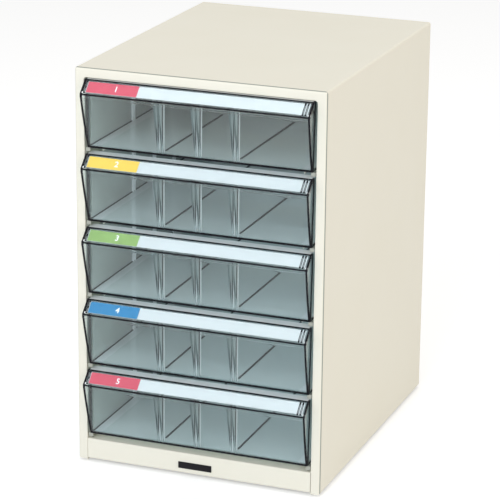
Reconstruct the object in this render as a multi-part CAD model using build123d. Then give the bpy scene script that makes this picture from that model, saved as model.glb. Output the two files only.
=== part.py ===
"""Desktop letter case: a painted sheet-steel case with five deep clear drawers, in millimetres.

The origin is the bottom centre of the whole unit: +Z is up, the drawer fronts face -Y and +X is
to the right of somebody who looks at them. Drawer 1 is the top one.
"""
import os

from build123d import *

# Driving dimensions of the case
CASE_W = 280.0
CASE_D = 358.0
CASE_H = 440.0
FOOT_H = 3.0
SHEET = 1.0
BEND_R = 2.5
STILE_W = 10.5
TOP_RAIL_H = 10.4
PLINTH_H = 24.2
OPENING_CORNER_R = 3.0
SCREW_HEAD = 1.4

# Driving dimensions of the drawers
DRAWERS = 5
PITCH = 80.8
FRONT_H = 74.6
TOP_GAP = 0.9
RIDGE = 16.0
TRAY_W = 251.6
CHEEK_W = 254.4
TRAY_DEPTH = 345.0
TRAY_WALL = 2.0
TRAVEL = 250.0

# Places that follow from them
TOTAL_D = RIDGE + CASE_D + SCREW_HEAD
FRONT_Y = -TOTAL_D / 2 + RIDGE
BACK_Y = FRONT_Y + CASE_D
SHELL_Z0 = FOOT_H
SHELL_Z1 = FOOT_H + CASE_H
OPEN_HALF = CASE_W / 2 - STILE_W
OPEN_TOP = SHELL_Z1 - TOP_RAIL_H
PLINTH_TOP = SHELL_Z0 + PLINTH_H
INNER_HALF = CASE_W / 2 - SHEET

# How far a cutting solid runs past the surface that it cuts
PAST = 1.0


def block(x0, x1, y0, y1, z0, z1):
    """A box between two corners."""
    centre = Pos((x0 + x1) / 2, (y0 + y1) / 2, (z0 + z1) / 2)
    return centre * Box(x1 - x0, y1 - y0, z1 - z0)


def prism_x(outline, x0, x1):
    """A sideways-run prism: its outline is in (y, z)."""
    plane = Plane(origin=(x0, 0, 0), x_dir=(0, 1, 0), z_dir=(1, 0, 0))
    return extrude(plane * make_face(outline), x1 - x0, dir=(1, 0, 0))


def prism_y(points, y0, y1):
    """A front-to-back prism: its corners are in (x, z)."""
    plane = Plane(origin=(0, y0, 0), x_dir=(1, 0, 0), z_dir=(0, -1, 0))
    return extrude(plane * make_face(Polyline(*points, close=True)), y1 - y0, dir=(0, 1, 0))


def drawer_bottom(number):
    """Height of a drawer's bottom edge."""
    return OPEN_TOP - TOP_GAP - FRONT_H - (number - 1) * PITCH


# Screws: pan-head, with a crossed recess. Shanks fill their holes, as a formed thread does
SCREW_R = 1.5
SCREW_HEAD_R = 3.0
SCREW_HEAD_ROUND = 0.9
SCREW_LENGTH = 6.0
SCREW_POINT = 0.6
RECESS_W = 0.8
RECESS_L = 3.4
RECESS_DEPTH = 0.8
REAR_FLANGE = 12.0
BOTTOM_FLANGE = 11.0
SCREW_SHIFT = 0.5
END_SCREW_X = 70.0
BACK_SCREW_HEIGHTS = (60.0, 222.0, 384.0)
BASE_SCREW_DEPTHS = (-130.0, 0.0, 130.0)
PAN_SCREW_Z = SHELL_Z0 + 8.0
SIDE_SCREW_X = CASE_W / 2 - REAR_FLANGE / 2 - SCREW_SHIFT
TOP_SCREW_Z = SHELL_Z1 - REAR_FLANGE / 2 - SCREW_SHIFT
BASE_SCREW_X = CASE_W / 2 - BOTTOM_FLANGE / 2 - SCREW_SHIFT
BACK_SCREWS = [(s * SIDE_SCREW_X, z) for z in BACK_SCREW_HEIGHTS for s in (-1, 1)]
BACK_SCREWS += [(s * END_SCREW_X, TOP_SCREW_Z) for s in (-1, 1)]
PAN_SCREWS = [(s * END_SCREW_X, PAN_SCREW_Z) for s in (-1, 1)]
BASE_SCREWS = [(s * BASE_SCREW_X, y) for y in BASE_SCREW_DEPTHS for s in (-1, 1)]


def rear_hole(x, z):
    """The hole for a screw that runs forward through the back's sheets."""
    return Pos(x, BACK_Y - SHEET, z) * Rot(90, 0, 0) * Cylinder(SCREW_R, 4 * SHEET)


def base_hole(x, y):
    """The hole for a screw that runs up through the bottom's sheets."""
    return Pos(x, y, SHELL_Z0 + SHEET) * Cylinder(SCREW_R, 4 * SHEET)


def make_screw():
    """A screw that stands on its shank, head up, with the head's seat at the origin."""
    head = Pos(0, 0, SCREW_HEAD / 2) * Cylinder(SCREW_HEAD_R, SCREW_HEAD)
    head = fillet(head.edges().group_by(Axis.Z)[-1], SCREW_HEAD_ROUND)
    for turn in (0, 90):
        recess = Rot(0, 0, turn) * Box(RECESS_L, RECESS_W, RECESS_DEPTH)
        head = head - Pos(0, 0, SCREW_HEAD - RECESS_DEPTH / 2) * recess
    shank = Pos(0, 0, -SCREW_LENGTH / 2) * Cylinder(SCREW_R, SCREW_LENGTH)
    return head + chamfer(shank.edges().group_by(Axis.Z)[0], SCREW_POINT)


def make_back_screws():
    """The screws in the rear flanges, and the two in the bare foot of the back panel."""
    screw = make_screw()
    seats = [(x, BACK_Y, z) for x, z in BACK_SCREWS] + [(x, PANEL_Y1, z) for x, z in PAN_SCREWS]
    return Compound(children=[Pos(*seat) * Rot(-90, 0, 0) * screw for seat in seats])


def make_base_screws():
    """The screws that hold the pan to the shell's bottom flanges."""
    screw = make_screw()
    return Compound(children=[Pos(x, y, SHELL_Z0) * Rot(180, 0, 0) * screw for x, y in BASE_SCREWS])


# Case shell: top, sides, top rail and stiles folded from one painted sheet
RETURN_DEPTH = 10.0
RETURN_EDGE_R = 0.7


def folded_box(inset, radius):
    """The case's box, inset by a wall, with every folded edge rounded."""
    half = CASE_W / 2 - inset
    solid = block(-half, half, FRONT_Y + inset, BACK_Y - inset, SHELL_Z0 + inset, SHELL_Z1 - inset)
    upright = solid.edges().filter_by(Axis.Z)
    top = solid.faces().sort_by(Axis.Z)[-1].edges()
    lower = solid.faces().sort_by(Axis.Z)[0].edges().filter_by(Axis.Y)
    return fillet(upright + top + lower, radius)


def front_opening(inset):
    """The drawer opening as a flat face on the case's front, its upper corners rounded."""
    half = OPEN_HALF + inset
    top = OPEN_TOP + inset
    bottom = SHELL_Z0 - PAST
    face = make_face(Polyline((-half, bottom), (half, bottom), (half, top), (-half, top), close=True))
    upper_corners = face.vertices().group_by(Axis.Y)[-1]
    rounded = fillet(upper_corners, OPENING_CORNER_R + inset)
    return Plane(origin=(0, FRONT_Y, 0), x_dir=(1, 0, 0), z_dir=(0, -1, 0)) * rounded


def make_case_shell():
    """The wrapped sheet, with returns folded in round its front opening."""
    shell = folded_box(0, BEND_R) - folded_box(SHEET, BEND_R - SHEET)
    return_frame = extrude(front_opening(SHEET), RETURN_DEPTH, dir=(0, 1, 0))
    shell = shell + return_frame
    shell = shell - extrude(front_opening(0), RETURN_DEPTH + PAST, dir=(0, 1, 0), both=True)
    in_front_face = shell.edges().filter_by_position(Axis.Y, FRONT_Y - SHEET / 2, FRONT_Y + SHEET / 2)
    rim = in_front_face.filter_by_position(Axis.X, -OPEN_HALF - SHEET / 2, OPEN_HALF + SHEET / 2)
    rim = rim.filter_by_position(Axis.Z, SHELL_Z0 + SHEET, OPEN_TOP + SHEET / 2)
    shell = fillet(rim, RETURN_EDGE_R)
    well = CASE_W / 2 - BOTTOM_FLANGE
    shell = shell - block(-well, well, FRONT_Y + PAST, BACK_Y + PAST, SHELL_Z0 - PAST, SHELL_Z0 + SHEET)
    window = CASE_W / 2 - REAR_FLANGE
    shell = shell - block(-window, window, BACK_Y - 2 * SHEET, BACK_Y + PAST,
                          SHELL_Z0 - PAST, SHELL_Z1 - REAR_FLANGE)
    for x, z in BACK_SCREWS:
        shell = shell - rear_hole(x, z)
    for x, y in BASE_SCREWS:
        shell = shell - base_hole(x, y)
    return shell


# Back panel: a flat sheet against the shell's rear flanges, clear of the round inside of the folds
PANEL_T = 0.8
PANEL_Y1 = BACK_Y - SHEET
PANEL_Y0 = PANEL_Y1 - PANEL_T
PANEL_CORNER_R = 3.0


def make_back_panel():
    """The flat back sheet with its screw holes."""
    base = SHELL_Z0 + 2 * SHEET
    top = SHELL_Z1 - BEND_R
    half = CASE_W / 2 - BEND_R
    panel = block(-half, half, PANEL_Y0, PANEL_Y1, base, top)
    panel = fillet(panel.edges().filter_by(Axis.Y).group_by(Axis.Z)[-1], PANEL_CORNER_R)
    for x, z in BACK_SCREWS + PAN_SCREWS:
        panel = panel - rear_hole(x, z)
    return panel


# Base pan: the plinth between the stiles and the bottom plate behind it, one folded sheet
PLINTH_SEAM = 0.4
PLINTH_LEDGE = 17.0
PLINTH_LIP = 6.0
PAN_Z = SHELL_Z0 + SHEET
PAN_WALL = 12.0
PAN_START = FRONT_Y + RETURN_DEPTH + 0.5
FOOT_X = 112.0
FOOT_INSET = 32.0
FOOT_R = 10.0
FOOT_STEM_R = 2.5
FOOT_PLACES = {
    "foot_front_left": (-FOOT_X, FRONT_Y + FOOT_INSET),
    "foot_front_right": (FOOT_X, FRONT_Y + FOOT_INSET),
    "foot_rear_left": (-FOOT_X, BACK_Y - FOOT_INSET),
    "foot_rear_right": (FOOT_X, BACK_Y - FOOT_INSET),
}


def make_plinth():
    """The kick panel: a folded box open at its back, under a short lip."""
    half = OPEN_HALF - PLINTH_SEAM
    rear = FRONT_Y + PLINTH_LEDGE
    plinth = block(-half, half, FRONT_Y, rear, PAN_Z, PLINTH_TOP)
    plinth = fillet(plinth.edges().filter_by(Axis.X).group_by(Axis.Y)[0], BEND_R - SHEET)
    end = half + PAST
    plinth = plinth - block(-end, end, FRONT_Y + SHEET, rear - SHEET, PAN_Z + SHEET, PLINTH_TOP - SHEET)
    return plinth - block(-end, end, rear - 2 * SHEET, rear + PAST, PAN_Z + SHEET, PLINTH_TOP - PLINTH_LIP)


def pan_block(side, y0, y1, z0, z1, radius):
    """A block with its two rear corners and its two long lower edges rounded."""
    solid = block(-side, side, y0, y1, z0, z1)
    folds = solid.edges().filter_by(Axis.Z).group_by(Axis.Y)[-1]
    folds += solid.edges().filter_by(Axis.Y).group_by(Axis.Z)[0]
    return fillet(folds, radius)


def make_base_pan():
    """The plinth and the shallow pan that closes the case's bottom."""
    outside = pan_block(INNER_HALF, PAN_START, PANEL_Y0, PAN_Z, PAN_Z + PAN_WALL, BEND_R)
    inside = pan_block(INNER_HALF - SHEET, PAN_START - BEND_R, PANEL_Y0 - SHEET,
                       PAN_Z + SHEET, PAN_Z + PAN_WALL + PAST, BEND_R - SHEET)
    pan = make_plinth() + (outside - inside)
    for x, z in PAN_SCREWS:
        pan = pan - rear_hole(x, z)
    for x, y in FOOT_PLACES.values():
        pan = pan - Pos(x, y, PAN_Z) * Cylinder(FOOT_STEM_R, 3 * SHEET)
    for x, y in BASE_SCREWS:
        pan = pan - base_hole(x, y)
    return pan


# Rubber feet: a tapered pad under the pan and a barbed stem pushed through it
FOOT_TAPER = 1.2
BARB_R = 3.6
BARB_TIP_R = 1.9
BARB_H = 3.2


def make_foot(x, y):
    """One push-in foot."""
    pad = Pos(0, 0, PAN_Z / 2) * Cylinder(FOOT_R, PAN_Z)
    pad = chamfer(pad.edges().group_by(Axis.Z)[0], FOOT_TAPER)
    stem = Pos(0, 0, PAN_Z + SHEET / 2) * Cylinder(FOOT_STEM_R, SHEET)
    barb = Pos(0, 0, PAN_Z + SHEET + BARB_H / 2) * Cone(BARB_R, BARB_TIP_R, BARB_H)
    return Pos(x, y, 0) * (pad + stem + barb)


# Name plate: a small bare black plate on the plinth, a little left of the middle
PLATE_W = 38.4
PLATE_H = 7.4
PLATE_T = 0.9
PLATE_X = -2.75
PLATE_Z = SHELL_Z0 + 10.2
PLATE_CORNER_R = 0.5
PLATE_BEVEL = 0.25


def make_name_plate():
    """The bare plate, with rounded corners and a bevelled rim."""
    plate = block(PLATE_X - PLATE_W / 2, PLATE_X + PLATE_W / 2, FRONT_Y - PLATE_T, FRONT_Y,
                  PLATE_Z - PLATE_H / 2, PLATE_Z + PLATE_H / 2)
    plate = fillet(plate.edges().filter_by(Axis.Y), PLATE_CORNER_R)
    return chamfer(plate.faces().sort_by(Axis.Y)[0].edges(), PLATE_BEVEL)


# Runners: a shelf under the tray's edge, a guide wall beside it, and a channel that holds its lug
SHELF_DROP = 0.2
SHELF_IN = 112.5
GUIDE_X = TRAY_W / 2 + 1.6
GUIDE_H = 6.0
CHANNEL_H = 11.0
CHANNEL_MOUTH = OPEN_HALF + 0.3
RUNNER_LIP = 5.0
NOSE_IN = 123.5
NOSE_START = 1.5
NOSE_LIP = 4.4
RUNNER_Y0 = FRONT_Y + RETURN_DEPTH + 1.0
RUNNER_Y1 = PANEL_Y0 - 4.0


def make_runner(number):
    """The right-hand runner of a drawer: a folded section, run from front to back."""
    z = drawer_bottom(number)
    shelf = z - SHELF_DROP
    guide = GUIDE_X + SHEET
    channel = z + GUIDE_H
    roof = channel + CHANNEL_H
    section = [
        (SHELF_IN, z - RUNNER_LIP), (SHELF_IN + SHEET, z - RUNNER_LIP), (SHELF_IN + SHEET, shelf - SHEET),
        (guide, shelf - SHEET), (guide, channel - SHEET), (INNER_HALF, channel - SHEET),
        (INNER_HALF, roof), (CHANNEL_MOUTH, roof), (CHANNEL_MOUTH, roof - SHEET),
        (INNER_HALF - SHEET, roof - SHEET), (INNER_HALF - SHEET, channel), (GUIDE_X, channel),
        (GUIDE_X, shelf), (SHELF_IN, shelf),
    ]
    rail = prism_y(section, RUNNER_Y0, RUNNER_Y1)
    nose_y = FRONT_Y + NOSE_START
    nose = block(NOSE_IN, guide, nose_y, RUNNER_Y0, shelf - SHEET, shelf)
    nose_lip = block(NOSE_IN, guide, nose_y, nose_y + SHEET, z - NOSE_LIP, shelf)
    return rail + nose + nose_lip


# Drawer tray: one clear moulding. Its outline is given as (out, up): how far it stands out in
# front of the case, and its height above the drawer's bottom edge
WINDOW_FOOT = (0.3, 0.0)
WINDOW_MIDDLE = (9.0, 28.9)
WINDOW_HEAD = (15.4, 57.0)
WINDOW_SLANT = 1.035
RIDGE_LOW = 57.8
RIDGE_HIGH = 61.8
RIDGE_WALL = 2.3
LABEL_WALL = 3.5
LEDGE_OUT = 2.2
LEDGE_BACK = 11.6
LEDGE_T = 1.8
SIDE_H = 69.0
SIDE_SLOPE = 10.0
CHEEK_BACK = 2.5
RIM_W = 1.4
RIM_T = 2.0
REAR_CORNER_R = 10.0
EDGE_R = 0.6
REAR_INSIDE = FRONT_Y + TRAY_DEPTH - TRAY_WALL

# The label's seat on the sloping face above the ridge, measured up the slope from the ridge
SEAT_LOW = 1.4
SEAT_HIGH = 17.2
SEAT_DEPTH = 1.7
SEAT_HALF = 124.2
COVER_T = 1.1
CLIP_X = 1.8
CLIP_W = 7.0
CLIP_PLAY = 0.2

# Divider slots: pairs of ribs on all four walls, at the thirds and the middle, and a low rib on the
# floor at the thirds of its width
SLOT_PLACES = (-42.0, 0.0, 42.0)
SLOT_DEPTHS = (TRAY_DEPTH / 3, TRAY_DEPTH / 2, TRAY_DEPTH * 2 / 3)
SLOT_RIB_T = 1.5
SLOT_PITCH = 4.8
SLOT_RIB_BACK = 3.2
SLOT_RIB_IN = 2.2
SLOT_RIB_TOP = 58.5
FLOOR_RIB_PLACES = (-42.0, 42.0)
FLOOR_RIB_W = 1.6
FLOOR_RIB_H = 1.2
FLOOR_RIB_START = 14.0

# Stop lugs: they ride in the runners' channels and meet the stiles' returns at full travel
LUG_OUT = 9.7
LUG_LENGTH = 12.0
LUG_LOW = 7.5
LUG_HIGH = 14.5
LUG_CLEAR = 0.3


def at(out, up, bottom):
    """A point of the drawer's outline as (y, z)."""
    return (FRONT_Y - out, bottom + up)


def window_arc(inset, bottom):
    """The window's gently bowed line, moved inwards through the wall."""
    shift = inset * WINDOW_SLANT
    points = [at(out - shift, up, bottom) for out, up in (WINDOW_FOOT, WINDOW_MIDDLE, WINDOW_HEAD)]
    return ThreePointArc(*points)


def outline(points, arc, bottom):
    """A closed outline: the window's arc, then straight runs through the points, in order."""
    corners = [arc @ 1] + [at(out, up, bottom) for out, up in points] + [arc @ 0]
    return [arc, Polyline(*corners)]


def label_plane(number):
    """The plane of a drawer's label face: its x runs right, its y up the slope from the ridge."""
    y, z = at(RIDGE, RIDGE_HIGH, drawer_bottom(number))
    slope = Vector(0, RIDGE - LEDGE_OUT, FRONT_H - RIDGE_HIGH).normalized()
    normal = Vector(1, 0, 0).cross(slope)
    return Plane(origin=(0, y, z), x_dir=(1, 0, 0), z_dir=normal)


def label_slab(number, x0, x1, up0, up1, depth0, depth1):
    """A flat piece on the label face, between two depths under its surface."""
    return label_plane(number) * block(x0, x1, up0, up1, -depth1, -depth0)


def make_front(bottom):
    """The drawer's solid front: full width in front of the case, the tray's width behind it."""
    face = outline([(RIDGE, RIDGE_LOW), (RIDGE, RIDGE_HIGH), (LEDGE_OUT, FRONT_H), (-LEDGE_BACK, FRONT_H),
                    (-LEDGE_BACK, 0)], window_arc(0, bottom), bottom)
    low, high = TRAY_W / 2, CHEEK_W / 2
    head, top = bottom + WINDOW_HEAD[1], bottom + FRONT_H
    core = prism_x(face, -low, low)
    cheeks = prism_x(face, -high, high)
    tip = FRONT_Y - RIDGE - PAST
    ahead = cheeks.edges().filter_by(Axis.X).filter_by_position(Axis.Y, tip, FRONT_Y - PAST)
    cheeks = fillet(ahead, EDGE_R)
    taper = [(-low, bottom), (low, bottom), (high, head), (high, top), (-high, top), (-high, head)]
    cheeks = cheeks & prism_y(taper, tip, FRONT_Y + CHEEK_BACK)
    behind = block(-high, high, FRONT_Y + CHEEK_BACK, FRONT_Y + LEDGE_BACK + PAST, bottom, top)
    return cheeks + (core & behind)


def make_front_hollow(bottom):
    """The space behind the window and under the label seat."""
    run = RIDGE - LEDGE_OUT
    rise = FRONT_H - RIDGE_HIGH
    length = (run ** 2 + rise ** 2) ** 0.5
    ridge_in = (RIDGE - LABEL_WALL * rise / length, RIDGE_HIGH - LABEL_WALL * run / length)
    roof = FRONT_H - LEDGE_T
    seat_top = ridge_in[0] - (roof - ridge_in[1]) * run / rise
    face = outline([(RIDGE - RIDGE_WALL, RIDGE_LOW), ridge_in, (seat_top, roof), (-LEDGE_BACK - PAST, roof),
                    (-LEDGE_BACK - PAST, 0)], window_arc(TRAY_WALL, bottom), bottom)
    cheek_half = CHEEK_W / 2 - TRAY_WALL
    wide = prism_x(face, -cheek_half, cheek_half)
    wide = wide & block(-CASE_W, CASE_W, FRONT_Y - RIDGE, FRONT_Y + CHEEK_BACK, bottom, bottom + FRONT_H)
    tray_half = TRAY_W / 2 - TRAY_WALL
    narrow = prism_x(face, -tray_half, tray_half)
    floor = block(-CASE_W, CASE_W, FRONT_Y - RIDGE, FRONT_Y + 2 * LEDGE_BACK,
                  bottom - PAST, bottom + TRAY_WALL)
    return wide + narrow - floor


def make_tray_body(bottom):
    """The solid block of the tray behind its front, with the rim round its top."""
    half = TRAY_W / 2
    start = 1 - LEDGE_BACK
    side = [at(start, 0, bottom), at(start, FRONT_H, bottom), at(-LEDGE_BACK, FRONT_H, bottom),
            at(-LEDGE_BACK - SIDE_SLOPE, SIDE_H, bottom), at(-TRAY_DEPTH, SIDE_H, bottom),
            at(-TRAY_DEPTH, 0, bottom)]
    body = prism_x(Polyline(*side, close=True), -half, half)
    body = fillet(body.edges().filter_by(Axis.Z).group_by(Axis.Y)[-1], REAR_CORNER_R)
    rim = block(-half - RIM_W, half + RIM_W, FRONT_Y + LEDGE_BACK + SIDE_SLOPE, FRONT_Y + TRAY_DEPTH + RIM_W,
                bottom + SIDE_H - RIM_T, bottom + SIDE_H)
    return body + fillet(rim.edges().filter_by(Axis.Z).group_by(Axis.Y)[-1], REAR_CORNER_R + RIM_W)


def rib_spans(place):
    """The two ribs of the slot at a place, each as its start and end."""
    middles = [place - SLOT_PITCH / 2, place + SLOT_PITCH / 2]
    return [(middle - SLOT_RIB_T / 2, middle + SLOT_RIB_T / 2) for middle in middles]


def make_lengthwise_ribs(place, bottom):
    """The slots for a lengthwise divider: ribs inside the window and inside the rear wall."""
    ribs = []
    z0, z1 = bottom + TRAY_WALL / 2, bottom + SLOT_RIB_TOP
    for x0, x1 in rib_spans(place):
        shape = outline([(-SLOT_RIB_BACK, WINDOW_HEAD[1]), (-SLOT_RIB_BACK, 0)],
                        window_arc(TRAY_WALL / 2, bottom), bottom)
        height = block(x0, x1, FRONT_Y - RIDGE, FRONT_Y + LEDGE_BACK, z0, z1)
        ribs.append(prism_x(shape, x0, x1) & height)
        ribs.append(block(x0, x1, REAR_INSIDE - SLOT_RIB_BACK, REAR_INSIDE + TRAY_WALL / 2, z0, z1))
    return ribs


def make_crosswise_ribs(depth, bottom):
    """The slots for a crosswise divider: ribs inside both side walls."""
    ribs = []
    inner = TRAY_W / 2 - TRAY_WALL
    z0, z1 = bottom + TRAY_WALL / 2, bottom + SLOT_RIB_TOP
    for start, end in rib_spans(depth):
        for side in (-1, 1):
            x0, x1 = sorted((side * (inner - SLOT_RIB_IN), side * (inner + TRAY_WALL / 2)))
            ribs.append(block(x0, x1, FRONT_Y + start, FRONT_Y + end, z0, z1))
    return ribs


def make_tray(number):
    """The whole drawer moulding."""
    bottom = drawer_bottom(number)
    half = TRAY_W / 2
    inner = half - TRAY_WALL
    hollow = block(-inner, inner, FRONT_Y + LEDGE_BACK, REAR_INSIDE,
                   bottom + TRAY_WALL, bottom + FRONT_H + PAST)
    hollow = fillet(hollow.edges().filter_by(Axis.Z).group_by(Axis.Y)[-1], REAR_CORNER_R - TRAY_WALL)
    tray = make_front(bottom) + make_tray_body(bottom) - (hollow + make_front_hollow(bottom))
    tray = tray - label_slab(number, -SEAT_HALF, SEAT_HALF, SEAT_LOW, SEAT_HIGH, -PAST, SEAT_DEPTH)
    clip_half = CLIP_W / 2 + CLIP_PLAY
    tray = tray - label_slab(number, CLIP_X - clip_half, CLIP_X + clip_half,
                             -PAST, SEAT_LOW + PAST, -PAST, COVER_T)

    for place in SLOT_PLACES:
        for rib in make_lengthwise_ribs(place, bottom):
            tray = tray + rib
    for depth in SLOT_DEPTHS:
        for rib in make_crosswise_ribs(depth, bottom):
            tray = tray + rib
    for place in FLOOR_RIB_PLACES:
        tray = tray + block(place - FLOOR_RIB_W / 2, place + FLOOR_RIB_W / 2,
                            FRONT_Y + FLOOR_RIB_START, REAR_INSIDE + TRAY_WALL / 2,
                            bottom + TRAY_WALL / 2, bottom + TRAY_WALL + FLOOR_RIB_H)
    lug_y = FRONT_Y + RETURN_DEPTH + TRAVEL + LUG_CLEAR
    for side in (-1, 1):
        x0, x1 = sorted((side * (half - 1), side * (half + LUG_OUT)))
        tray = tray + block(x0, x1, lug_y, lug_y + LUG_LENGTH, bottom + LUG_LOW, bottom + LUG_HIGH)
    return tray


# Label: white card and coloured tab in the seat, under a clear snap-on cover
CARD_T = 0.3
CARD_LEFT = -121.5
CARD_RIGHT = 117.0
CARD_LOW = 2.1
CARD_HIGH = 16.5
TAB_W = 57.0
TAB_INSET = 0.2
COVER_PLAY = 0.1
SLIT_W = 0.9
RIGHT_SLITS = (118.4, 121.6)
RIGHT_SLIT_SPAN = (3.4, 14.2)
LEFT_SLIT_X = -122.9
LEFT_SLIT_SPANS = ((3.0, 8.0), (10.4, 15.4))


def make_card(number):
    """The white card at the bottom of the seat."""
    return label_slab(number, CARD_LEFT, CARD_RIGHT, CARD_LOW, CARD_HIGH, SEAT_DEPTH - CARD_T, SEAT_DEPTH)


def make_tab(number):
    """The coloured tab that lies on the card's left end."""
    top = SEAT_DEPTH - 2 * CARD_T
    return label_slab(number, CARD_LEFT, CARD_LEFT + TAB_W, CARD_LOW + TAB_INSET, CARD_HIGH - TAB_INSET,
                      top, top + CARD_T)


def make_cover(number):
    """The clear cover, with its clip at mid-span and slits at its ends."""
    half = SEAT_HALF - COVER_PLAY
    cover = label_slab(number, -half, half, SEAT_LOW + COVER_PLAY, SEAT_HIGH - COVER_PLAY, 0, COVER_T)
    cover = cover + label_slab(number, CLIP_X - CLIP_W / 2, CLIP_X + CLIP_W / 2, 0, SEAT_LOW + 1, 0, COVER_T)
    slits = [(x, RIGHT_SLIT_SPAN) for x in RIGHT_SLITS] + [(LEFT_SLIT_X, span) for span in LEFT_SLIT_SPANS]
    for x, (low, high) in slits:
        cover = cover - label_slab(number, x - SLIT_W / 2, x + SLIT_W / 2, low, high, -PAST, COVER_T + PAST)
    return cover


def write(node, solid):
    """Writes one named node."""
    solid.label = node
    export_step(solid, f"parts/{node}.step")


os.makedirs("parts", exist_ok=True)
write("case_shell", make_case_shell())
write("back_panel", make_back_panel())
write("base_pan", make_base_pan())
write("name_plate", make_name_plate())
write("back_screws", make_back_screws())
write("base_screws", make_base_screws())
for foot_name, (foot_x, foot_y) in FOOT_PLACES.items():
    write(foot_name, make_foot(foot_x, foot_y))
for drawer in range(1, DRAWERS + 1):
    runner = make_runner(drawer)
    write(f"runner_right_{drawer}", runner)
    write(f"runner_left_{drawer}", mirror(runner, about=Plane.YZ))
    write(f"drawer_tray_{drawer}", make_tray(drawer))
    write(f"title_card_{drawer}", make_card(drawer))
    write(f"index_tab_{drawer}", make_tab(drawer))
    write(f"label_cover_{drawer}", make_cover(drawer))
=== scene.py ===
import math

import bmesh
import bpy
from mathutils import Matrix, Vector


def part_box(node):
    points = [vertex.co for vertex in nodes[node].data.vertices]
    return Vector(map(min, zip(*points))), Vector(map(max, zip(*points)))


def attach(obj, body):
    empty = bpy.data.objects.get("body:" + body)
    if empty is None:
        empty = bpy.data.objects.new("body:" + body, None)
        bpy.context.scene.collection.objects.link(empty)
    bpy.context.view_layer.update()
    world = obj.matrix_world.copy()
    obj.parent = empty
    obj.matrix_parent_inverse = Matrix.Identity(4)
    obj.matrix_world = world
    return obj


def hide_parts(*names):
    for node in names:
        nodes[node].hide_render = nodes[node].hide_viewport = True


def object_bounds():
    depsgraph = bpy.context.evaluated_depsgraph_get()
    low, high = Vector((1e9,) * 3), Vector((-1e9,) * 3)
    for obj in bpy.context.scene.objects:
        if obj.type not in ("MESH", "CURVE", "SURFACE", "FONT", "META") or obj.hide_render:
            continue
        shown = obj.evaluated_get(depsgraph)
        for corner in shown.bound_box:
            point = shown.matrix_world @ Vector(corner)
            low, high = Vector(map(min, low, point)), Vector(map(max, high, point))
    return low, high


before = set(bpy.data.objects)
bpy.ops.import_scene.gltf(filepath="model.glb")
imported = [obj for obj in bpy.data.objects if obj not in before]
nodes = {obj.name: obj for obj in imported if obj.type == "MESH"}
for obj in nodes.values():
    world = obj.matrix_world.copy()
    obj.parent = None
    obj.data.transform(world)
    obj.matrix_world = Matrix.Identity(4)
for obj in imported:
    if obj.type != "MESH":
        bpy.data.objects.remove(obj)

MM = 0.001
cad_low, cad_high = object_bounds()

# Case: the wrapped shell, the back panel and the base pan, folded from sheet steel and coated with
# an ivory powder paint that is baked on. The coat levels out to a fine orange peel with a satin shine.
IVORY = (0.86, 0.83, 0.725)
IVORY_WARM = (0.845, 0.81, 0.695)
# The grey below is painted shade: a thin line along the shell's front bends, and the runners' front ends.
PAINTED_SHADE_GREY = (0.30, 0.32, 0.28)
PAINT_ROUGHNESS, PAINT_DRIFT = 0.54, 0.10
PAINT_SPECULAR = 0.3
PEEL_SIZE, PEEL_DETAIL, PEEL_DEPTH = 1.6 * MM, 1.5, 0.012 * MM
CLOUD_SIZE, CLOUD_DETAIL = 90 * MM, 3.0
BEND_INSET = 0.7 * MM
BEND_BACK = (0.75 * MM, 2.2 * MM)
BEND_SOFT = 0.1 * MM
case_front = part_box("case_shell")[0][1]


class Wire:
    """A value on its way through a finish: arithmetic on it adds Math nodes."""

    def __init__(self, finish, socket):
        self.finish = finish
        self.socket = socket

    def math(self, operation, *values):
        inputs = dict(enumerate(values))
        return self.finish.node("Math", {"operation": operation}, inputs)

    def __abs__(self):
        return self.math("ABSOLUTE", self)

    def __add__(self, other):
        return self.math("ADD", self, other)

    def __sub__(self, other):
        return self.math("SUBTRACT", self, other)

    def __rsub__(self, other):
        return self.math("SUBTRACT", other, self)

    def __mul__(self, other):
        return self.math("MULTIPLY", self, other)

    __radd__ = __add__
    __rmul__ = __mul__

    def output(self, name):
        """Another output of the node that this value comes from."""
        return Wire(self.finish, self.socket.node.outputs[name])


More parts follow.
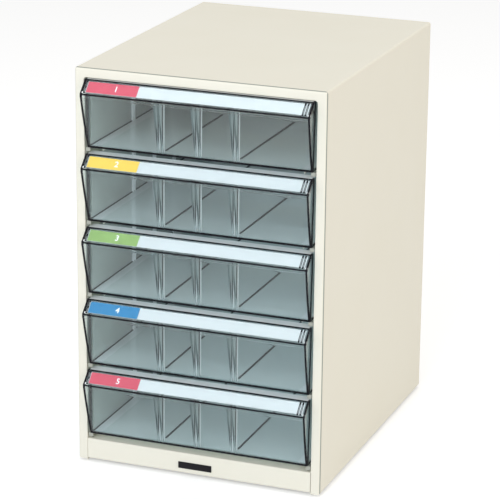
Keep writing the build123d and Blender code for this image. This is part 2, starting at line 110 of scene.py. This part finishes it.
class Finish:
    """A procedural finish under way: it adds nodes and joins their sockets."""

    def __init__(self, name, owner=None):
        self.owner = owner or bpy.data.materials.new(name)
        self.owner.use_nodes = True
        self.tree = self.owner.node_tree
        self.tree.nodes.clear()

    def node(self, kind, settings=None, sockets=None):
        """Adds a node: its settings first, then the values or links of its sockets."""
        made = self.tree.nodes.new("ShaderNode" + kind)
        for name, value in (settings or {}).items():
            setattr(made, name, value)
        for name, value in (sockets or {}).items():
            if isinstance(value, Wire):
                self.tree.links.new(value.socket, made.inputs[name])
            elif made.inputs[name].type == "RGBA":
                made.inputs[name].default_value = (*value, 1)
            else:
                made.inputs[name].default_value = value
        return Wire(self, made.outputs[0]) if made.outputs else made

    def place(self):
        """Where a point is on the piece, in metres."""
        return self.node("TexCoord").output("Object")

    def noise(self, size, detail=2.0, stretch=(1, 1, 1)):
        """Soft noise from 0 to 1 whose blobs are about one size across."""
        scale = tuple(s / size for s in stretch)
        spread = self.node("VectorMath", {"operation": "MULTIPLY"}, {0: self.place(), 1: scale})
        return self.node("TexNoise", None, {"Vector": spread, "Scale": 1.0, "Detail": detail})

    def step(self, value, low, high):
        """0 where a value is under low, 1 where it is over high, and smooth between them."""
        sockets = {"Value": value, "From Min": low, "From Max": high}
        return self.node("MapRange", {"interpolation_type": "SMOOTHSTEP"}, sockets)

    def over(self, value, level, soft=0.2 * MM):
        """1 where a value is over a level, with a soft edge."""
        return self.step(value, level - soft, level + soft)

    def under(self, value, level, soft=0.2 * MM):
        """1 where a value is under a level, with a soft edge."""
        return 1 - self.over(value, level, soft)

    def within(self, value, low, high, soft=0.2 * MM):
        """1 where a value is between low and high, with soft edges."""
        return self.over(value, low, soft) * self.under(value, high, soft)

    def blend(self, share, first, second):
        """A colour between two colours."""
        mixed = self.node("Mix", {"data_type": "RGBA"}, {"Factor": share, 6: first, 7: second})
        return Wire(self, mixed.socket.node.outputs[2])

    def bump(self, height, depth):
        """A normal from a height between 0 and 1 that stands for a depth in metres."""
        return self.node("Bump", None, {"Height": height, "Distance": depth})

    def end(self, shader, volume=None):
        """Joins the shaders to the output and hands the material or the world over."""
        kind = "World" if isinstance(self.owner, bpy.types.World) else "Material"
        joined = {"Surface": shader}
        if volume:
            joined["Volume"] = volume
        self.node("Output" + kind, None, joined)
        return self.owner


def dress(material, *names):
    """Gives CAD nodes their finish."""
    for name in names:
        mesh = nodes[name].data
        mesh.materials.clear()
        mesh.materials.append(material)


def powder_paint(name, painted_shade):
    """Baked powder paint: a slight drift of colour and shine, orange peel, and grey painted shade where a
    mask puts it.
    """
    finish = Finish(name)
    peel = finish.noise(PEEL_SIZE, PEEL_DETAIL)
    cloud = finish.noise(CLOUD_SIZE, CLOUD_DETAIL)
    return finish.end(finish.node("BsdfPrincipled", None, {
        "Base Color": finish.blend(painted_shade(finish), finish.blend(cloud, IVORY, IVORY_WARM), PAINTED_SHADE_GREY),
        "Roughness": PAINT_ROUGHNESS + PAINT_DRIFT * cloud,
        "Normal": finish.bump(peel, PEEL_DEPTH),
        "Specular IOR Level": PAINT_SPECULAR,
    }))


def most(masks):
    """The highest of some masks at each point."""
    highest = masks[0]
    for mask in masks[1:]:
        highest = highest.math("MAXIMUM", highest, mask)
    return highest


def front_bends(finish):
    """A thin line of painted shade along the shell's front bends, on the folded edge."""
    spot = finish.node("SeparateXYZ", None, {0: finish.place()})
    depth = spot.output("Y") - case_front
    side = finish.over(abs(spot.output("X")), cad_high[0] - BEND_INSET, BEND_SOFT)
    top = finish.over(spot.output("Z"), cad_high[2] - BEND_INSET, BEND_SOFT)
    return most([side, top]) * finish.within(depth, *BEND_BACK, BEND_SOFT)


# The shell's front bends take a thin line of painted shade.
case_paint = powder_paint("ivory_powder_paint", front_bends)
dress(case_paint, "case_shell", "back_panel", "base_pan")

# Name plate: a small bare plate of thin aluminium under black enamel, stamped from sheet and stuck to
# the kick panel.
BLACK_ENAMEL = (0.006, 0.005, 0.007)
ENAMEL_ROUGHNESS, ENAMEL_DRIFT, ENAMEL_CLOUD = 0.25, 0.15, 3 * MM
ENAMEL_SPECULAR = 0.2
black = Finish("black_enamel")
dress(black.end(black.node("BsdfPrincipled", None, {
    "Base Color": BLACK_ENAMEL,
    "Roughness": ENAMEL_ROUGHNESS + ENAMEL_DRIFT * black.noise(ENAMEL_CLOUD),
    "Specular IOR Level": ENAMEL_SPECULAR,
})), "name_plate")

# Screws: zinc-plated steel pan heads. They fix the back panel to the shell's rear flanges, and the
# base pan to its bottom flanges from below.
ZINC = (0.62, 0.62, 0.60)
ZINC_ROUGHNESS, ZINC_DRIFT, ZINC_CLOUD = 0.28, 0.2, 1.5 * MM
zinc = Finish("zinc_plate")
dress(zinc.end(zinc.node("BsdfPrincipled", None, {
    "Base Color": ZINC,
    "Metallic": 1.0,
    "Roughness": ZINC_ROUGHNESS + ZINC_DRIFT * zinc.noise(ZINC_CLOUD),
})), "back_screws", "base_screws")

# Feet: round pads moulded of dark rubber, whose plugs are pushed into holes in the base pan. The
# mould leaves a fine grain on them.
RUBBER = (0.03, 0.03, 0.032)
RUBBER_ROUGHNESS, RUBBER_DRIFT, RUBBER_CLOUD = 0.6, 0.2, 2 * MM
GRAIN_SIZE, GRAIN_DEPTH = 0.8 * MM, 0.03 * MM
rubber = Finish("foot_rubber")
dress(rubber.end(rubber.node("BsdfPrincipled", None, {
    "Base Color": RUBBER,
    "Roughness": RUBBER_ROUGHNESS + RUBBER_DRIFT * rubber.noise(RUBBER_CLOUD),
    "Normal": rubber.bump(rubber.noise(GRAIN_SIZE), GRAIN_DEPTH),
})), *[name for name in nodes if name.startswith("foot_")])

# Runners: strips of sheet steel folded into ledges that carry the drawers, spot-welded to the case's
# sides and painted with it. Their front ends get grey painted shade, where they stand in the gaps
# between the drawers.
NOSE_LENGTH, NOSE_SOFT = 9 * MM, 3 * MM
NOSE_SHADE = 0.8


def worn_nose(finish):
    """The runners' front ends, greyed as painted shade where they stand in the gaps between the drawers.
    """
    depth = finish.node("SeparateXYZ", None, {0: finish.place()}).output("Y")
    return NOSE_SHADE * finish.under(depth, case_front + NOSE_LENGTH, NOSE_SOFT)


runner_paint = powder_paint("runner_powder_paint", worn_nose)
dress(runner_paint, *[name for name in nodes if name.startswith("runner_")])

# Drawer trays: one injection moulding of clear smoke-tinted polystyrene each. The front is polished;
# behind it the walls, the floor and the ledge have a satin face. The mould leaves a small radius on
# every edge, and handling leaves fine scuffs.
DRAWERS = range(1, 6)
lowest_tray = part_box("drawer_tray_5")[0][2]
DRAWER_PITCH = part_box("drawer_tray_4")[0][2] - lowest_tray
TRAY_GAP = 2 * MM
SLIVER, WELD = 0.05 * MM, 0.001 * MM
FLAT_ANGLE, EDGE_ANGLE = math.radians(1), math.radians(30)
MOULD_EDGE, MOULD_EDGE_STEPS = 0.3 * MM, 2
FLAT_FACE_WEIGHT = 100
WINDOW_POINTS = ((0.3 * MM, 0.0), (9.0 * MM, 28.9 * MM), (15.4 * MM, 57.0 * MM))
WINDOW_SHIFT = 2.07 * MM
WINDOW_STRIPS = 30
WINDOW_SLACK, WINDOW_BACK, WINDOW_OVER = 0.2 * MM, 2.5 * MM, 0.5 * MM
SIDE_NORMAL = 0.5


def clean_form(node, sliver):
    """The shape of a CAD node with its facets joined to flat faces."""
    form = bmesh.new()
    form.from_mesh(nodes[node].data)
    bmesh.ops.remove_doubles(form, verts=form.verts, dist=sliver)
    bmesh.ops.dissolve_limit(form, angle_limit=FLAT_ANGLE, verts=form.verts, edges=form.edges)
    return form


def circle_through(a, b, c):
    """The centre and the radius of the circle through three points of a plane."""
    ab, ac = b - a, c - a
    turn = 2 * (ab.x * ac.y - ab.y * ac.x)
    across = (ac.y * ab.length_squared - ab.y * ac.length_squared) / turn
    along = (ab.x * ac.length_squared - ac.x * ab.length_squared) / turn
    offset = Vector((across, along))
    return a + offset, offset.length


def smooth_window(form, bottom):
    """Cuts the bowed window's facets into fine strips and lays them on its true arc, inside and out."""
    places = [Vector((case_front - out, bottom + up)) for out, up in WINDOW_POINTS]
    middle, radius = circle_through(*places)
    for shift in (0, WINDOW_SHIFT):
        centre = middle + Vector((shift, 0))

        def off_arc(vert):
            return abs((Vector((vert.co.y, vert.co.z)) - centre).length - radius)

        def facets():
            return [face for face in form.faces if abs(face.normal.x) < SIDE_NORMAL
                    and all(off_arc(vert) < WINDOW_SLACK and vert.co.y < case_front + WINDOW_BACK
                            and vert.co.z < places[2].y + WINDOW_OVER for vert in face.verts)]

        for strip in range(1, WINDOW_STRIPS):
            level = places[0].y + (places[2].y - places[0].y) * strip / WINDOW_STRIPS
            band = facets()
            edges = {edge for face in band for edge in face.edges}
            verts = {vert for face in band for vert in face.verts}
            bmesh.ops.bisect_plane(form, geom=[*verts, *edges, *band], dist=WELD,
                                   plane_co=(0, 0, level), plane_no=(0, 0, 1))
        for vert in {vert for face in facets() for vert in face.verts}:
            spoke = Vector((vert.co.y, vert.co.z)) - centre
            vert.co.y, vert.co.z = centre + spoke.normalized() * radius


def piece_of(form, name):
    """A piece with the form's shape."""
    mesh = bpy.data.meshes.new(name)
    form.to_mesh(mesh)
    form.free()
    piece = bpy.data.objects.new(name, mesh)
    bpy.context.scene.collection.objects.link(piece)
    return piece


def rounded_piece(form, name, radius):
    """A piece with the form's shape, every edge of it rounded."""
    for face in form.faces:
        face.smooth = True
    piece = piece_of(form, name)
    rounding = piece.modifiers.new("edge_radius", "BEVEL")
    rounding.width = radius
    rounding.segments = MOULD_EDGE_STEPS
    rounding.limit_method = "ANGLE"
    rounding.angle_limit = EDGE_ANGLE
    rounding.use_clamp_overlap = False
    shading = piece.modifiers.new("flat_faces", "WEIGHTED_NORMAL")
    shading.weight = FLAT_FACE_WEIGHT
    return piece


# The clear plastic's own values: scuffs roughen it, its milky faces are satin, and its edges take a
# near-black, partly the tint adding up and mostly painted shade.
STYRENE_IOR = 1.45
SCUFF_SIZE, SCUFF_DETAIL, SCUFF_STRETCH = 1.2 * MM, 4.0, (1, 1, 0.25)
SCUFF_RANGE = (0.55, 0.8)
CLEAR_ROUGHNESS, CLEAR_SCUFFED = 0.015, 0.06
SATIN_ROUGHNESS, SATIN_SCUFFED = 0.06, 0.2
SATIN_SHINE_IOR = 1.8
EDGE_SMOKE_AND_SHADE = (0.008, 0.007, 0.010)
EDGE_ROUGHNESS, EDGE_SCUFFED = 0.4, 0.3
EDGE_SPECULAR = 0.1


def clear_plastic(finish, surface, light, veil, veil_colour, shine, edge, soak=None, per_metre=0.0):
    """Clear plastic: milky where there is a veil, near-black where the edge mask paints shade. Lamps shine
    straight through it.
    """
    scuff = finish.step(finish.noise(SCUFF_SIZE, SCUFF_DETAIL, SCUFF_STRETCH), *SCUFF_RANGE)
    body = finish.node("BsdfPrincipled", None, {
        "Base Color": surface,
        "Roughness": CLEAR_ROUGHNESS + CLEAR_SCUFFED * scuff,
        "Transmission Weight": 1.0,
        "IOR": STYRENE_IOR,
    })
    milky = finish.node("BsdfPrincipled", None, {
        "Base Color": veil_colour,
        "Roughness": SATIN_ROUGHNESS + SATIN_SCUFFED * scuff,
        "IOR": STYRENE_IOR,
        "Coat Weight": shine,
        "Coat IOR": SATIN_SHINE_IOR,
    })
    dark = finish.node("BsdfPrincipled", None, {
        "Base Color": EDGE_SMOKE_AND_SHADE,
        "Roughness": EDGE_ROUGHNESS + EDGE_SCUFFED * scuff,
        "Specular IOR Level": EDGE_SPECULAR,
    })
    body = finish.node("MixShader", None, {"Fac": veil, 1: body, 2: milky})
    body = finish.node("MixShader", None, {"Fac": edge, 1: body, 2: dark})
    film = finish.node("BsdfTransparent", None, {"Color": light})
    shadow = finish.node("LightPath").output("Is Shadow Ray")
    volume = None
    if soak:
        volume = finish.node("VolumeAbsorption", None, {"Color": soak, "Density": per_metre})
    return finish.end(finish.node("MixShader", None, {"Fac": shadow, 1: body, 2: film}), volume)


# The smoke tint, and where the tray's forms lie for it: up from the tray's bottom, out from the case's
# front, and across from the middle to either side. The ribs are the slots' pairs inside the window.
# Masks on these forms paint shade and highlights: near-black in the gaps about the front and by the
# ribs, paler on the ledge, the lip, the side ribs, the rear wall and the floor's side strips.
SMOKE_SURFACE = (0.985, 0.995, 0.995)
SMOKE_LIGHT = (0.98, 0.985, 0.985)
SMOKE_SOAK = (0.33, 0.56, 0.60)
SMOKE_PER_METRE = 80.0
SATIN_TINT = (0.87, 0.94, 0.93)
SATIN_HIGHLIGHT = (0.97, 0.99, 1.0)
SATIN_PAINTED_SHADE = (0.55, 0.61, 0.61)
SATIN_VEIL, WALL_CLEARING = 0.80, 0.58
DENSE, FIRM = 0.97, 0.9
SHARP, FINE, BROAD = 0.05 * MM, 0.1 * MM, 0.5 * MM
SIDE_FACING, SIDE_FACING_SOFT = 0.86, 0.06
SATIN_OUT, SATIN_OUT_SOFT = -4.75 * MM, 1.25 * MM
WALL_ACROSS, WALL_SOFT = 123.75 * MM, 0.25 * MM
REAR_WALL_OUT = -340.1 * MM
FLOOR_UP, FLOOR_SOFT = 2.9 * MM, 0.3 * MM
FLOOR_CORNER_ACROSS = 122.6 * MM
FLOOR_SIDE_ACROSS = (113.0 * MM, 122.4 * MM)
FLOOR_RIB_ACROSS, FLOOR_RIB_UP = (41.0 * MM, 43.0 * MM), (1.9 * MM, 3.6 * MM)
FLOOR_RIB_OUT = -13.5 * MM
FOOT_UP, FOOT_OUT = 2.2 * MM, -2.3 * MM
RIDGE_UP, RIDGE_OUT = (60.2 * MM, 62.0 * MM), 14.2 * MM
SEAT_LIP_UP, SEAT_LIP_OUT = (62.6 * MM, 64.0 * MM), 13.3 * MM
TOP_RIM_UP, TOP_RIM_OUT = 73.6 * MM, 1.3 * MM
LEDGE_UP, LEDGE_OUT = 74.4 * MM, (-12.0 * MM, 1.2 * MM)
CHEEK_ACROSS, CHEEK_OUT = 123.8 * MM, -2.4 * MM
CHEEK_TOP = 57.0 * MM
CHEEK_LEAN = 1.4 * MM / CHEEK_TOP
CHEEK_BACK_ACROSS, CHEEK_BACK_OUT = 125.5 * MM, (-4.0 * MM, 2.4 * MM)
SIDE_RIB_ACROSS, SIDE_RIB_OUT = (121.3 * MM, 123.7 * MM), -20.5 * MM
SLOT_SPACING, LAST_RIB_ACROSS = 42.0 * MM, 60.5 * MM
RIB_PLACE, RIB_UP = (1.6 * MM, 3.2 * MM), (2.5 * MM, 59.0 * MM)
RIB_SHADE_OUT, RIB_HIGHLIGHT_OUT = (1.0 * MM, 4.4 * MM), (-3.8 * MM, 1.0 * MM)


def smoke_styrene():
    """The drawers' plastic: clear in front, satin behind, with painted shade at its edges and painted
    highlights on faces behind.
    """
    finish = Finish("smoke_styrene")
    spot = finish.node("SeparateXYZ", None, {0: finish.place()})
    x, out, z = spot.output("X"), case_front - spot.output("Y"), spot.output("Z")
    up = z.math("WRAP", z, lowest_tray + DRAWER_PITCH - TRAY_GAP, lowest_tray - TRAY_GAP) - lowest_tray
    normal = finish.node("SeparateXYZ", None, {0: finish.node("NewGeometry").output("Normal")})
    sideways = finish.over(abs(normal.output("X")), SIDE_FACING, SIDE_FACING_SOFT)
    across = abs(x)
    behind = finish.under(out, SATIN_OUT, SATIN_OUT_SOFT)
    low = finish.under(up, FLOOR_UP, FLOOR_SOFT)

    place = abs(x.math("WRAP", x, SLOT_SPACING / 2, -SLOT_SPACING / 2))
    ribs = finish.within(place, *RIB_PLACE, SHARP) * finish.under(across, LAST_RIB_ACROSS, BROAD)
    ribs = sideways * ribs * finish.within(up, *RIB_UP)

    floor_rib = finish.within(across, *FLOOR_RIB_ACROSS, FINE) * finish.within(up, *FLOOR_RIB_UP)
    cheek = across - CHEEK_LEAN * up.math("MINIMUM", up, CHEEK_TOP)
    # Near-black painted shade: the gaps about the front's top rim, foot, ridge and cheeks, the floor's
    # corners and ribs, and a strip beside each slot rib.
    edge = most([
        finish.over(up, TOP_RIM_UP) * finish.over(out, TOP_RIM_OUT, FINE),
        finish.under(up, FOOT_UP) * finish.over(out, FOOT_OUT, FINE),
        finish.within(up, *RIDGE_UP) * finish.over(out, RIDGE_OUT),
        finish.over(cheek, CHEEK_ACROSS) * (1 - sideways) * finish.over(out, CHEEK_OUT),
        finish.over(across, CHEEK_BACK_ACROSS) * finish.within(out, *CHEEK_BACK_OUT),
        finish.over(across, FLOOR_CORNER_ACROSS) * low * behind,
        floor_rib * finish.under(out, FLOOR_RIB_OUT, BROAD),
        FIRM * ribs * finish.within(out, *RIB_SHADE_OUT, SHARP),
    ])
    # Painted highlights: the ledge top, the side ribs, the seat's lip, the rear wall, the floor's side
    # strips and a strip along each slot rib are paler than their light makes them.
    painted_highlight = most([
        finish.over(up, LEDGE_UP, FINE) * finish.within(out, *LEDGE_OUT, FINE),
        finish.within(across, *SIDE_RIB_ACROSS, FINE) * finish.under(out, SIDE_RIB_OUT, BROAD),
        finish.within(up, *SEAT_LIP_UP, FINE) * finish.over(out, SEAT_LIP_OUT, FINE),
        finish.under(out, REAR_WALL_OUT, BROAD),
        FIRM * low * behind * finish.within(across, *FLOOR_SIDE_ACROSS),
        ribs * finish.within(out, *RIB_HIGHLIGHT_OUT, SHARP),
    ])
    wall = finish.over(across, WALL_ACROSS, WALL_SOFT)
    veil = most([behind * (SATIN_VEIL - WALL_CLEARING * wall), DENSE * painted_highlight, DENSE * ribs])
    # The slot ribs' faces take a painted shade, darker than the satin about them.
    colour = finish.blend(painted_highlight, finish.blend(ribs, SATIN_TINT, SATIN_PAINTED_SHADE), SATIN_HIGHLIGHT)
    return clear_plastic(finish, SMOKE_SURFACE, SMOKE_LIGHT, veil, colour, low * behind, DENSE * edge,
                         SMOKE_SOAK, SMOKE_PER_METRE)


smoke = smoke_styrene()
for k in DRAWERS:
    form = clean_form(f"drawer_tray_{k}", SLIVER)
    smooth_window(form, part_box(f"drawer_tray_{k}")[0][2])
    tray = rounded_piece(form, f"tray_{k}", MOULD_EDGE)
    tray.data.materials.append(smoke)
    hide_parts(f"drawer_tray_{k}")
    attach(tray, f"drawer_{k}")

# Title cards: white card cut to the seat in each drawer front, its corners clipped round. The seat
# lies on the face that slopes up and back from the ridge, so a plane on that face carries the label.
LABEL_FOOT = 61.8 * MM
LABEL_RUN = 13.8 * MM
SEAT_DEPTH = 1.7 * MM
CARD_T = 0.26 * MM
CARD_LEFT, CARD_RIGHT = -123.9 * MM, 123.6 * MM
CARD_LOW, CARD_HIGH = 2.9 * MM, 16.6 * MM
CARD_CORNER = 0.9 * MM
PAPER_GAP = 0.02 * MM
CARD_WHITE = (0.548, 0.602, 0.595)
CORNER_STEPS = 5
PAPER_BAYS = 24
FIBRE_SIZE, FIBRE_DETAIL, FIBRE_DEPTH = 0.5 * MM, 3.0, 0.006 * MM
STOCK_SIZE = 14 * MM
PAPER_ROUGHNESS, PAPER_TOOTH = 0.75, 0.15
PAPER_SPECULAR = 0.3
CARD_SHADE = 0.94


def label_plane(k):
    """From the label's own x, y and height to the frame: x to the right, y up the slope."""
    low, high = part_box(f"drawer_tray_{k}")
    foot = Vector((0, low[1], low[2] + LABEL_FOOT))
    up = (Vector((0, low[1] + LABEL_RUN, high[2])) - foot).normalized()
    out = Vector((1, 0, 0)).cross(up)
    turn = Matrix((Vector((1, 0, 0)), up, out)).transposed().to_4x4()
    return Matrix.Translation(foot) @ turn


def paper_slip(name, k, left, right, low, high, top, thickness, corner):
    """A slip of paper on the label's face, in even bays along its length, with rounded corners."""
    form = bmesh.new()
    edge = []
    for x, y, start in ((right, high, 0), (left, high, 90), (left, low, 180), (right, low, 270)):
        centre = Vector((x - math.copysign(corner, x - (left + right) / 2),
                         y - math.copysign(corner, y - (low + high) / 2), top))
        for step in range(CORNER_STEPS + 1):
            angle = math.radians(start + 90 * step / CORNER_STEPS)
            edge.append(form.verts.new(centre + corner * Vector((math.cos(angle), math.sin(angle), 0))))
    form.faces.new(edge)
    for bay in range(1, PAPER_BAYS):
        x = left + (right - left) * bay / PAPER_BAYS
        bmesh.ops.bisect_plane(form, geom=form.verts[:] + form.edges[:] + form.faces[:],
                               plane_co=(x, 0, 0), plane_no=(1, 0, 0))
    sheet = bmesh.ops.extrude_face_region(form, geom=form.faces[:])
    for vert in [item for item in sheet["geom"] if isinstance(item, bmesh.types.BMVert)]:
        vert.co.z -= thickness
    bmesh.ops.recalc_face_normals(form, faces=form.faces)
    form.transform(label_plane(k))
    return piece_of(form, name)


def paper(name, colour, shade):
    """Smooth card or coloured paper: fibres, and a faint unevenness of the stock."""
    finish = Finish(name)
    fibre = finish.noise(FIBRE_SIZE, FIBRE_DETAIL)
    stock = finish.noise(STOCK_SIZE)
    darker = tuple(shade * part for part in colour)
    return finish.end(finish.node("BsdfPrincipled", None, {
        "Base Color": finish.blend(0.5 * fibre + 0.5 * stock, colour, darker),
        "Roughness": PAPER_ROUGHNESS + PAPER_TOOTH * fibre,
        "Normal": finish.bump(fibre, FIBRE_DEPTH),
        "Specular IOR Level": PAPER_SPECULAR,
    }))


white_card = paper("white_card", CARD_WHITE, CARD_SHADE)
card_top = PAPER_GAP + CARD_T - SEAT_DEPTH
for k in DRAWERS:
    card = paper_slip(f"card_{k}", k, CARD_LEFT, CARD_RIGHT, CARD_LOW, CARD_HIGH, card_top, CARD_T,
                      CARD_CORNER)
    card.data.materials.append(white_card)
    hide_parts(f"title_card_{k}")
    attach(card, f"drawer_{k}")

# Index tabs: slips of coloured paper laid on the card's left end, one colour to a drawer, each
# printed with the drawer's plain number in white.
RED, YELLOW = (0.56, 0.062, 0.105), (0.78, 0.54, 0.065)
GREEN, BLUE = (0.23, 0.39, 0.11), (0.0, 0.19, 0.40)
TAB_COLOURS = {
    1: ("tab_red", RED),
    2: ("tab_yellow", YELLOW),
    3: ("tab_green", GREEN),
    4: ("tab_blue", BLUE),
    5: ("tab_red", RED),
}
TAB_SHADE = 0.9
TAB_LEFT, TAB_W = -121.5 * MM, 57.0 * MM
TAB_INSET = 0.2 * MM
TAB_T = 0.24 * MM
TAB_CORNER = 0.5 * MM
NUMBER_H = 9.5 * MM
NUMBER_WEIGHT = 0.12 * MM
NUMBER_T = 0.02 * MM
NUMBER_SHIFT = 4.0 * MM
NUMBER_CURVE_STEPS = 4
PRINT_WHITE = (0.85, 0.86, 0.84)


def tab_number(k, x, y, height):
    """The drawer's number as a thin print on the tab."""
    text = bpy.data.curves.new(f"number_{k}", "FONT")
    text.body = str(k)
    text.size = NUMBER_H
    text.align_x = "CENTER"
    text.align_y = "CENTER"
    text.extrude = NUMBER_T / 2
    text.resolution_u = NUMBER_CURVE_STEPS
    text.offset = NUMBER_WEIGHT
    holder = bpy.data.objects.new(f"number_outline_{k}", text)
    outline = bpy.data.meshes.new_from_object(holder)
    form = bmesh.new()
    form.from_mesh(outline)
    bpy.data.objects.remove(holder)
    bpy.data.meshes.remove(outline)
    bmesh.ops.remove_doubles(form, verts=form.verts, dist=WELD)
    bmesh.ops.dissolve_degenerate(form, edges=form.edges, dist=WELD)
    form.transform(label_plane(k) @ Matrix.Translation((x, y, height + NUMBER_T / 2)))
    return piece_of(form, f"tab_number_{k}")


white_print = paper("white_print", PRINT_WHITE, CARD_SHADE)
tab_top = card_top + TAB_T + PAPER_GAP
for k, (slot, colour) in TAB_COLOURS.items():
    tab = paper_slip(f"tab_{k}", k, TAB_LEFT, TAB_LEFT + TAB_W, CARD_LOW + TAB_INSET,
                     CARD_HIGH - TAB_INSET, tab_top, TAB_T, TAB_CORNER)
    tab.data.materials.append(paper(f"tab_paper_{k}", colour, TAB_SHADE))
    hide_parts(f"index_tab_{k}")
    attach(tab, f"drawer_{k}")
    number = tab_number(k, TAB_LEFT + TAB_W / 2 + NUMBER_SHIFT, (CARD_LOW + CARD_HIGH) / 2, tab_top)
    number.data.materials.append(white_print)
    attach(number, f"drawer_{k}")

# Label covers: strips moulded of clear polystyrene that snap over the cards, with a clip at mid-span
# and slits at their ends that let them give.
COVER_EDGE = 0.2 * MM
CLEAR_SURFACE = (0.97, 0.985, 1.0)
CLEAR_LIGHT = (0.95, 0.97, 0.99)
SLIT_PLACES = (-122.9 * MM, 118.4 * MM, 121.6 * MM)
SLIT_EDGE = 0.75 * MM


def cover_styrene():
    """The covers' plastic: clear, with near-black painted shade along its slits, where one looks into
    their walls.
    """
    finish = Finish("clear_styrene")
    x = finish.node("SeparateXYZ", None, {0: finish.place()}).output("X")
    # Painted shade along each slit.
    slit_shade = [finish.within(x, place - SLIT_EDGE, place + SLIT_EDGE, FINE) for place in SLIT_PLACES]
    return clear_plastic(finish, CLEAR_SURFACE, CLEAR_LIGHT, 0.0, CLEAR_SURFACE, 0.0, FIRM * most(slit_shade))


clear = cover_styrene()
for k in DRAWERS:
    cover = rounded_piece(clean_form(f"label_cover_{k}", SLIVER), f"cover_{k}", COVER_EDGE)
    cover.data.materials.append(clear)
    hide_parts(f"label_cover_{k}")
    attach(cover, f"drawer_{k}")

# Floor: a plain pale sweep. What the camera sees of it is white, with the case's soft shadow; the
# light that it throws back on the case is that of pale grey paper.
FLOOR_REACH = 12.0
WHITE = (1, 1, 1)
FLOOR_GREY = (0.72, 0.72, 0.72)
FLOOR_SEEN = (0.86, 0.86, 0.86)
FLOOR_GLOW = 0.36
floor_mesh = bpy.data.meshes.new("floor")
corners = [(x * FLOOR_REACH, y * FLOOR_REACH, 0) for x, y in ((-1, -1), (1, -1), (1, 1), (-1, 1))]
floor_mesh.from_pydata(corners, [], [(0, 1, 2, 3)])
floor = bpy.data.objects.new("floor", floor_mesh)
bpy.context.scene.collection.objects.link(floor)


def seen_directly(finish):
    """1 where a ray comes from the camera, straight or by way of gloss or clear plastic."""
    path = finish.node("LightPath")
    by_way = path.output("Is Glossy Ray") + path.output("Is Transmission Ray")
    return path.output("Is Camera Ray") + by_way


sweep = Finish("floor_sweep")
plain = sweep.node("BsdfDiffuse", None, {"Color": FLOOR_GREY})
bright = sweep.node("BsdfDiffuse", None, {"Color": FLOOR_SEEN})
glow = sweep.node("Emission", None, {"Color": WHITE, "Strength": FLOOR_GLOW})
seen = sweep.node("AddShader", None, {0: bright, 1: glow})
floor_mesh.materials.append(sweep.end(
    sweep.node("MixShader", None, {"Fac": seen_directly(sweep), 1: plain, 2: seen})))

# Light: an even pale room, which the camera sees as white, and four large soft boxes. The two in
# front are a little cool, and the ones on the right and above are a little warm.
ROOM_LEVEL, ROOM_SEEN = 0.55, 1.0
FRONT_COOL, UPPER_COOL = (0.87, 0.93, 1.0), (0.88, 0.94, 1.0)
SIDE_WARM, TOP_WARM = (1.0, 0.94, 0.86), (1.0, 0.96, 0.88)
room = bpy.data.worlds.new("room")
bpy.context.scene.world = room
light = Finish("room", room)
walls = light.node("Background", None, {"Color": WHITE, "Strength": ROOM_LEVEL})
backdrop = light.node("Background", None, {"Color": WHITE, "Strength": ROOM_SEEN})
light.end(light.node("MixShader", None, {"Fac": seen_directly(light), 1: walls, 2: backdrop}))


def soft_box(name, place, width, height, power, colour):
    """A rectangular lamp aimed at the middle of the case."""
    lamp = bpy.data.lights.new(name, "AREA")
    lamp.shape = "RECTANGLE"
    lamp.size = width
    lamp.size_y = height
    lamp.energy = power
    lamp.color = colour
    holder = bpy.data.objects.new(name, lamp)
    holder.location = place
    aim = Vector((0, 0, (cad_low[2] + cad_high[2]) / 2))
    holder.rotation_euler = (aim - Vector(place)).to_track_quat("-Z", "Y").to_euler()
    bpy.context.scene.collection.objects.link(holder)


soft_box("front_box", (-1.1, -3.1, 0.52), width=3.0, height=0.95, power=28, colour=FRONT_COOL)
soft_box("upper_front_box", (-0.2, -2.6, 1.9), width=2.0, height=1.2, power=27, colour=UPPER_COOL)
soft_box("right_box", (3.2, -0.7, 0.95), width=2.2, height=1.6, power=30, colour=SIDE_WARM)
soft_box("top_box", (0.2, 0.4, 3.0), width=2.4, height=2.4, power=16.5, colour=TOP_WARM)

# Camera: the photograph's standpoint, a little above and to the right of the fronts, and far enough
# away to flatten the case's perspective.
SENSOR_WIDTH = 36.0
FRAME_PIXELS = 500
FOCAL_PIXELS = 2468
AZIMUTH = math.radians(20.73)
ELEVATION = math.radians(17.68)
ROLL = math.radians(0.60)
DISTANCE = 2.766
TARGET = Vector((-0.0095, 0.0073, 0.2052))
BOUNCES, FILM_BOUNCES = 20, 24
camera_data = bpy.data.cameras.new("camera")
camera_data.sensor_width = SENSOR_WIDTH
camera_data.lens = FOCAL_PIXELS / FRAME_PIXELS * SENSOR_WIDTH
camera = bpy.data.objects.new("camera", camera_data)
away = Vector((math.sin(AZIMUTH) * math.cos(ELEVATION), -math.cos(AZIMUTH) * math.cos(ELEVATION),
               math.sin(ELEVATION)))
camera.rotation_mode = "QUATERNION"
roll = Matrix.Rotation(ROLL, 3, "Z").to_quaternion()
camera.rotation_quaternion = (-away).to_track_quat("-Z", "Y") @ roll
camera.location = TARGET + away * DISTANCE
bpy.context.scene.collection.objects.link(camera)
bpy.context.scene.camera = camera
bpy.context.scene.view_settings.view_transform = "Standard"
cycles = bpy.context.scene.cycles
cycles.max_bounces = BOUNCES
cycles.transmission_bounces = BOUNCES
cycles.transparent_max_bounces = FILM_BOUNCES
